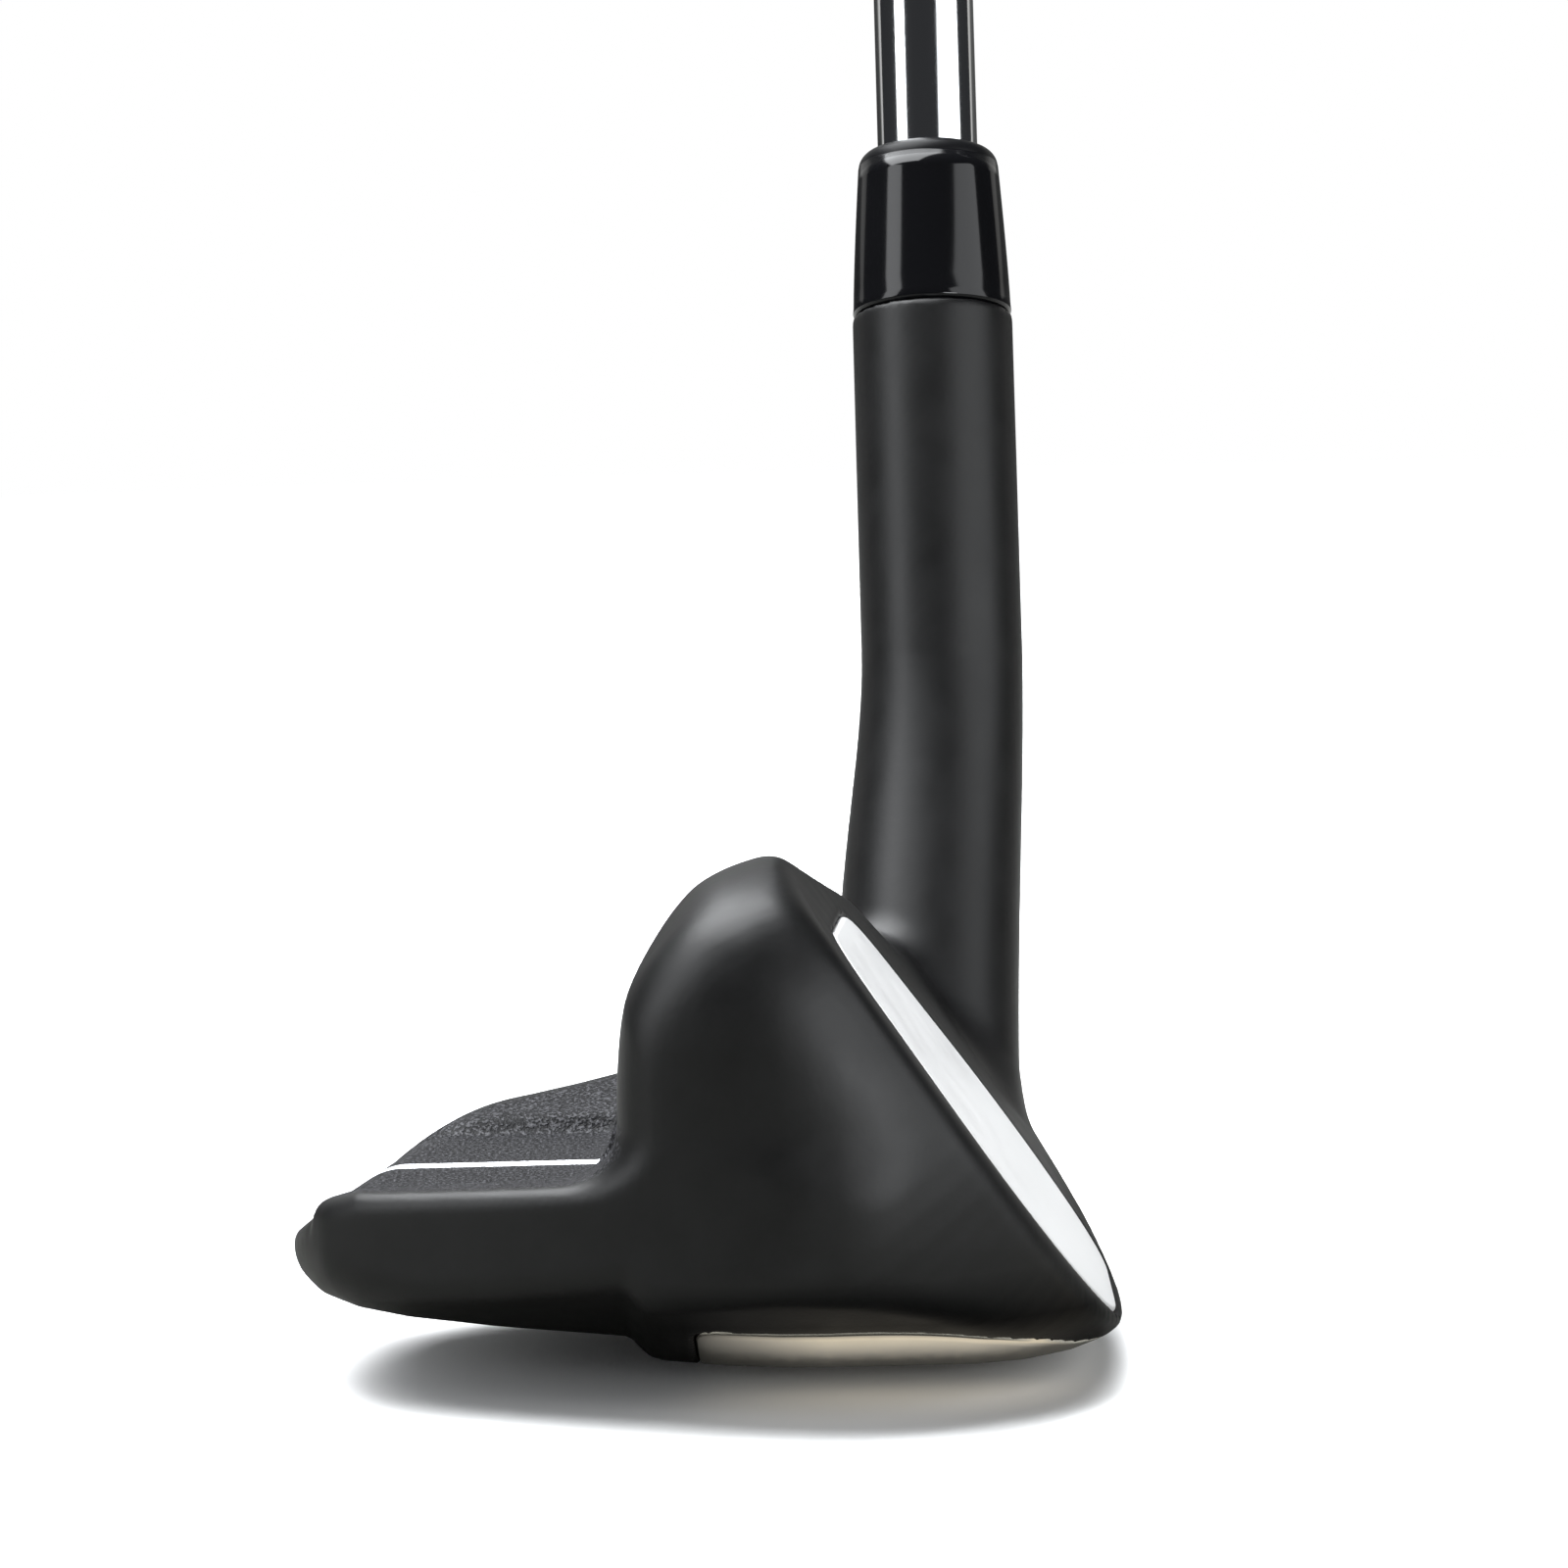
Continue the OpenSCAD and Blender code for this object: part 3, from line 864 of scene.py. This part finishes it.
def coated_head():
    """Matte black coat over a fine cast skin, coarse and speckled where the flange is blasted."""
    m = Nodes("head_coat")
    coarse = m.add("ShaderNodeAttribute", attribute_name="coarse").outputs["Fac"]
    fine = m.noise(1900, 2)
    soft = m.noise(260, 4)
    grain = m.noise(3200, 1, roughness=0.6)
    speck = m.ramp(grain, 0.50, 0.66, 0.0, 1.0)
    skin = m.colours(soft, [(0.3, (0.0018, 0.0018, 0.0020)), (0.7, (0.0030, 0.0030, 0.0033))])
    blasted = m.mix(speck, (0.002, 0.002, 0.003, 1), (0.060, 0.060, 0.066, 1))
    colour = m.mix(coarse, skin, blasted)
    satin = m.ramp(soft, 0.3, 0.7, 0.41, 0.46)
    rough = m.maths("ADD", satin, m.maths("MULTIPLY", coarse, 0.12))
    under = m.bump(fine, 0.00002, 0.35)
    strong = m.maths("MULTIPLY", coarse, 0.9)
    normal = m.bump(grain, 0.00014, strong, under)
    # The coat is dull close to the bare sole and on its blasted parts.
    place = m.add("ShaderNodeSeparateXYZ")
    m.link(m.place(), place.inputs["Vector"])
    low = m.ramp(place.outputs["Z"], 0.0085, 0.013, 1.0, 0.0)
    near_sole = m.maths("MULTIPLY", low, m.ramp(place.outputs["X"], -0.020, -0.014, 0.0, 1.0))
    sheen = m.maths("MULTIPLY", m.ramp(coarse, 0.0, 1.0, 0.42, 0.20), m.ramp(near_sole, 0.0, 1.0, 1.0, 0.12))
    return m.set(Base_Color=colour, Roughness=rough, Normal=normal, IOR=1.5, Specular_IOR_Level=sheen)


def insert_polymer():
    """White polymer, slightly clouded, that lets a little light in."""
    m = Nodes("insert_polymer")
    cloud = m.noise(180, 3)
    colour = m.colours(cloud, [(0.25, (0.62, 0.62, 0.62)), (0.75, (0.68, 0.68, 0.68))])
    normal = m.bump(m.noise(3000, 2), 0.00001, 0.25)
    m.set(Subsurface_Weight=0.15, Subsurface_Radius=(0.001, 0.001, 0.001))
    return m.set(Base_Color=colour, Roughness=m.ramp(cloud, 0.3, 0.7, 0.30, 0.38), Normal=normal)


def bare_sole():
    """Satin bare metal with fine polishing lines from toe to heel."""
    m = Nodes("sole_steel")
    lines = m.noise(900, 3, (1, 0.05, 1))
    cloud = m.noise(90, 3)
    colour = m.colours(cloud, [(0.3, (0.72, 0.68, 0.60)), (0.7, (0.80, 0.76, 0.68))])
    normal = m.bump(lines, 0.000006, 0.3)
    rough = m.ramp(lines, 0.3, 0.7, 0.18, 0.24)
    return m.set(Base_Color=colour, Metallic=1.0, Roughness=rough, Normal=normal)


def simple(name, colour, metallic, low, high, scale, depth, stretch=(1, 1, 1)):
    """A finish with a clouded colour, a roughness from low to high and a relief of some depth."""
    m = Nodes(name)
    cloud = m.noise(scale, 3, stretch)
    lighter = tuple(c * 1.18 for c in colour)
    shade = m.colours(cloud, [(0.3, colour), (0.7, lighter)])
    normal = m.bump(m.noise(scale * 6, 2, stretch), depth, 0.5)
    rough = m.ramp(cloud, 0.3, 0.7, low, high)
    return m.set(Base_Color=shade, Metallic=metallic, Roughness=rough, Normal=normal)


def line_paint():
    """White paint, a little uneven."""
    m = Nodes("line_paint")
    cloud = m.noise(1500, 3)
    colour = m.colours(cloud, [(0.3, (0.72, 0.74, 0.77)), (0.62, (0.88, 0.89, 0.92))])
    normal = m.bump(m.noise(2600, 2), 0.00008, 0.5)
    return m.set(Base_Color=colour, Roughness=0.55, Normal=normal)


def ferrule_plastic():
    """Polished black plastic, its turned top end dull."""
    m = Nodes("ferrule_gloss")
    turned = m.add("ShaderNodeAttribute", attribute_name="turned").outputs["Fac"]
    cloud = m.noise(60, 3)
    colour = m.colours(cloud, [(0.3, (0.0035, 0.0036, 0.0042)), (0.7, (0.0041, 0.0042, 0.0050))])
    rough = m.maths("ADD", m.ramp(cloud, 0.3, 0.7, 0.09, 0.13), m.maths("MULTIPLY", turned, 0.30))
    normal = m.bump(m.noise(360, 2), 0.000003, 0.5)
    level = m.ramp(turned, 0.0, 1.0, 0.42, 0.20)
    return m.set(Base_Color=colour, Roughness=rough, Normal=normal, IOR=1.45, Specular_IOR_Level=level)


def shaft_plate():
    """Bright chrome plating with a trace of waviness along the tube."""
    m = Nodes("shaft_plate")
    cloud = m.noise(30, 2, (1, 1, 0.2))
    normal = m.bump(m.noise(300, 2, (1, 1, 0.2)), 0.000001, 0.1)
    rough = m.ramp(cloud, 0.3, 0.7, 0.08, 0.11)
    return m.set(Base_Color=(0.90, 0.91, 0.92, 1), Metallic=1.0, Roughness=rough, Normal=normal)


MATERIALS = {
    "head_coat": coated_head(),
    "insert": insert_polymer(),
    "sole": bare_sole(),
    "line": line_paint(),
    "ferrule": ferrule_plastic(),
    "chrome": shaft_plate(),
    "band": simple("printed_film", (0.045, 0.045, 0.05), 0.0, 0.35, 0.42, 400, 0.000006),
    "grip": simple("moulded_rubber", (0.012, 0.012, 0.0125), 0.0, 0.62, 0.78, 500, 0.00005),
    "cap": simple("smooth_rubber", (0.010, 0.010, 0.0105), 0.0, 0.50, 0.62, 500, 0.00003),
    "film": simple("amber_film", (0.55, 0.46, 0.26), 0.0, 0.25, 0.4, 300, 0.00002),
    "epoxy": simple("amber_epoxy", (0.42, 0.30, 0.11), 0.0, 0.12, 0.25, 200, 0.00001),
    "brass": simple("turned_brass", (0.62, 0.44, 0.17), 1.0, 0.22, 0.34, 300, 0.00001),
    "paper": simple("ribbed_paper", (0.70, 0.66, 0.56), 0.0, 0.7, 0.85, 250, 0.00003, stretch=(1, 1, 0.3)),
}


def dress(obj, material):
    obj.data.materials.clear()
    obj.data.materials.append(MATERIALS[material])


# ---------- pieces on the frame ----------

PIECES = [
    (build_head, "head_body", "head_black", "head_coat"),
    (build_insert, "face_insert", "insert_white", "insert"),
    (build_sole, "sole_plate", "sole_metal", "sole"),
    (build_line, "alignment_line", "line_white", "line"),
    (build_ferrule, "ferrule", "ferrule_black", "ferrule"),
    (build_shaft, "shaft", "shaft_chrome", "chrome"),
    (build_band, "shaft_band", "band_grey", "band"),
    (build_grip, "grip_sleeve", "grip_rubber", "grip"),
    (build_cap, "grip_cap", "cap_rubber", "cap"),
]
for build, node, slot, material in PIECES:
    piece = build()
    dress(piece, material)
    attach(piece, "root")
    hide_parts(node)

for node, material in (
    ("insert_bond", "film"),
    ("sole_plate_bond", "film"),
    ("hosel_epoxy", "epoxy"),
    ("swing_weight_plug", "brass"),
    ("grip_tape", "paper"),
):
    dress(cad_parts[node], material)

# ---------- stage ----------


def paper_with_painted_light():
    """Pale paper to the camera; every other ray sees painted dark and light zones and painted glows on it."""
    m = Nodes("paper_with_painted_light")
    cloud = m.noise(4, 2)
    shade = m.colours(cloud, [(0.3, (0.86, 0.86, 0.86)), (0.7, (0.88, 0.88, 0.88))])
    surface = m.add("ShaderNodeNewGeometry")
    parts = m.add("ShaderNodeSeparateXYZ")
    m.link(surface.outputs["Position"], parts.inputs["Vector"])
    x, y, z = (parts.outputs[axis] for axis in "XYZ")
    ray = m.add("ShaderNodeLightPath")

    # Painted shade and light for every ray but the camera's: the floor the club mirrors is painted dark in front
    # and above, lighter behind it, and darkest far behind.
    behind = m.ramp(y, 0.05, 0.3, 0.0, 1.0)
    remote = m.ramp(y, 0.55, 0.8, 0.0, 1.0)
    low = m.ramp(z, 0.1, 0.5, 1.0, 0.0)
    painted_reflected_shade = m.mix(m.maths("MULTIPLY", behind, low), (0.14, 0.14, 0.13, 1), (0.28, 0.28, 0.27, 1))
    painted_reflected_shade = m.mix(m.maths("MULTIPLY", remote, low), painted_reflected_shade, (0.03, 0.03, 0.03, 1))
    shade = m.mix(ray.outputs["Is Camera Ray"], painted_reflected_shade, shade)

    # Painted glow seen only in reflections: two zones of the floor, under the sole (warm) and behind it, glow to
    # light up the bare sole.
    under = m.maths("MULTIPLY", m.ramp(y, -0.029, -0.024, 0.0, 1.0), m.ramp(y, -0.022, -0.015, 1.0, 0.05))
    under = m.maths("MULTIPLY", under, m.ramp(x, -0.016, -0.002, 0.0, 1.0))
    beyond = m.maths("MULTIPLY", m.ramp(y, 0.06, 0.12, 0.0, 0.4), m.ramp(y, 0.5, 0.7, 1.0, 0.0))
    # A painted glowing band low on the backdrop, also seen only in reflections, brightens what faces up.
    band = m.maths("MULTIPLY", m.ramp(z, 0.25, 0.38, 0.0, 1.0), m.ramp(z, 0.9, 1.4, 0.8, 0.0))
    painted_glow_mask = m.maths("MAXIMUM", m.maths("MULTIPLY", m.maths("MAXIMUM", under, beyond), low), band)
    painted_glow = m.add("ShaderNodeEmission", Strength=1.25)
    m.link(m.mix(under, (0.52, 0.52, 0.51, 1), (0.66, 0.60, 0.49, 1)), painted_glow.inputs["Color"])

    # Far from the club the paper stays evenly white to the camera, and from behind it is clear.
    white = m.add("ShaderNodeEmission", Color=(1, 1, 1, 1), Strength=1.0)
    reach = m.add("ShaderNodeVectorMath", operation="LENGTH")
    m.link(surface.outputs["Position"], reach.inputs[0])
    far = m.ramp(reach.outputs["Value"], 0.35, 0.9, 0.0, 1.0)
    clear = m.add("ShaderNodeBsdfTransparent")
    # Reflections see the painted glow in place of the paper wherever the glow mask is set.
    result = m.blend(m.maths("MULTIPLY", painted_glow_mask, ray.outputs["Is Glossy Ray"]), m.bsdf.outputs[0], painted_glow.outputs[0])
    result = m.blend(m.maths("MULTIPLY", ray.outputs["Is Camera Ray"], far), result, white.outputs[0])
    result = m.blend(surface.outputs["Backfacing"], result, clear.outputs[0])
    m.link(result, m.tree.nodes["Material Output"].inputs["Surface"])
    return m.set(Base_Color=shade, Roughness=0.9, Specular_IOR_Level=0.1)


def build_floor():
    """A wide floor that curves up into a backdrop far behind the club."""
    front, bend, radius, height = -1.6, 1.7, 0.9, 3.2
    half_width, across = 3.4, 12
    rows = [(front, 0.0), (bend, 0.0)]
    rows += [
        (bend + radius * math.sin(a), radius - radius * math.cos(a)) for a in np.linspace(0.1, math.pi / 2, 14)
    ]
    rows += [(bend + radius, height)]
    xs = np.linspace(-half_width, half_width, across)
    verts = [(x / MM, y / MM, z / MM) for y, z in rows for x in xs]
    faces = [
        (i * across + k, i * across + k + 1, (i + 1) * across + k + 1, (i + 1) * across + k)
        for i in range(len(rows) - 1)
        for k in range(across - 1)
    ]
    floor = mesh_object("studio_floor", verts, faces)
    floor.data.materials.append(paper_with_painted_light())
    return floor


build_floor()


def softbox(name, place, aim, size, power):
    """A rectangular studio light, slightly cool, aimed at a place."""
    light = bpy.data.lights.new(name, "AREA")
    light.shape = "RECTANGLE"
    light.size, light.size_y = size
    light.energy = power
    light.color = (0.96, 0.98, 1.0)
    obj = bpy.data.objects.new(name, light)
    obj.location = place
    obj.rotation_euler = (Vector(aim) - Vector(place)).to_track_quat("-Z", "Y").to_euler()
    bpy.context.scene.collection.objects.link(obj)
    return obj


AIM = (0.0, 0.0, 0.05)
softbox("top_box", (-0.1, 0.3, 1.3), AIM, (1.3, 1.0), 30).visible_glossy = False
softbox("left_strip", (-1.0, -0.35, 0.50), AIM, (0.45, 0.8), 4.5)
softbox("shoulder_box", (-0.42, 0.22, 1.15), AIM, (1.3, 1.0), 37)
softbox("right_box", (0.98, -0.52, 0.45), AIM, (1.20, 0.85), 7.5)
softbox("front_low", (0.75, -1.5, 0.28), AIM, (0.55, 0.45), 8)
softbox("back_wash", (0.0, 1.2, 1.9), (0, 2.6, 1.0), (2.4, 1.2), 60)


def build_world():
    """White to the camera, and a faint cool fill to everything else."""
    world = bpy.data.worlds.new("studio_world")
    bpy.context.scene.world = world
    world.use_nodes = True
    tree = world.node_tree
    tree.nodes.clear()
    output = tree.nodes.new("ShaderNodeOutputWorld")
    path = tree.nodes.new("ShaderNodeLightPath")
    choose = tree.nodes.new("ShaderNodeMixShader")
    tree.links.new(path.outputs["Is Camera Ray"], choose.inputs[0])
    for socket, colour, strength in ((1, (0.9, 0.93, 1.0, 1), 0.03), (2, (1, 1, 1, 1), 1.0)):
        background = tree.nodes.new("ShaderNodeBackground")
        background.inputs["Color"].default_value = colour
        background.inputs["Strength"].default_value = strength
        tree.links.new(background.outputs[0], choose.inputs[socket])
    tree.links.new(choose.outputs[0], output.inputs["Surface"])


build_world()

# ---------- camera: from the toe end, a little above, the club leaning slightly left ----------

TARGET = Vector((-4.4, 0.0, 50.3)) * MM
HEIGHT_ANGLE = math.radians(7)
DISTANCE = 0.75
CAMERA_ROLL = math.radians(1.4)
camera_data = bpy.data.cameras.new("camera")
camera_data.sensor_width = 36
camera_data.lens = 198.3
camera_data.clip_start = 0.05
camera = bpy.data.objects.new("camera", camera_data)
camera.location = TARGET + Vector((0, -math.cos(HEIGHT_ANGLE), math.sin(HEIGHT_ANGLE))) * DISTANCE
facing = (TARGET - camera.location).to_track_quat("-Z", "Y")
camera.rotation_euler = (facing.to_matrix().to_4x4() @ Matrix.Rotation(-CAMERA_ROLL, 4, "Z")).to_euler()
bpy.context.scene.collection.objects.link(camera)
bpy.context.scene.camera = camera
bpy.context.scene.view_settings.view_transform = "Standard"
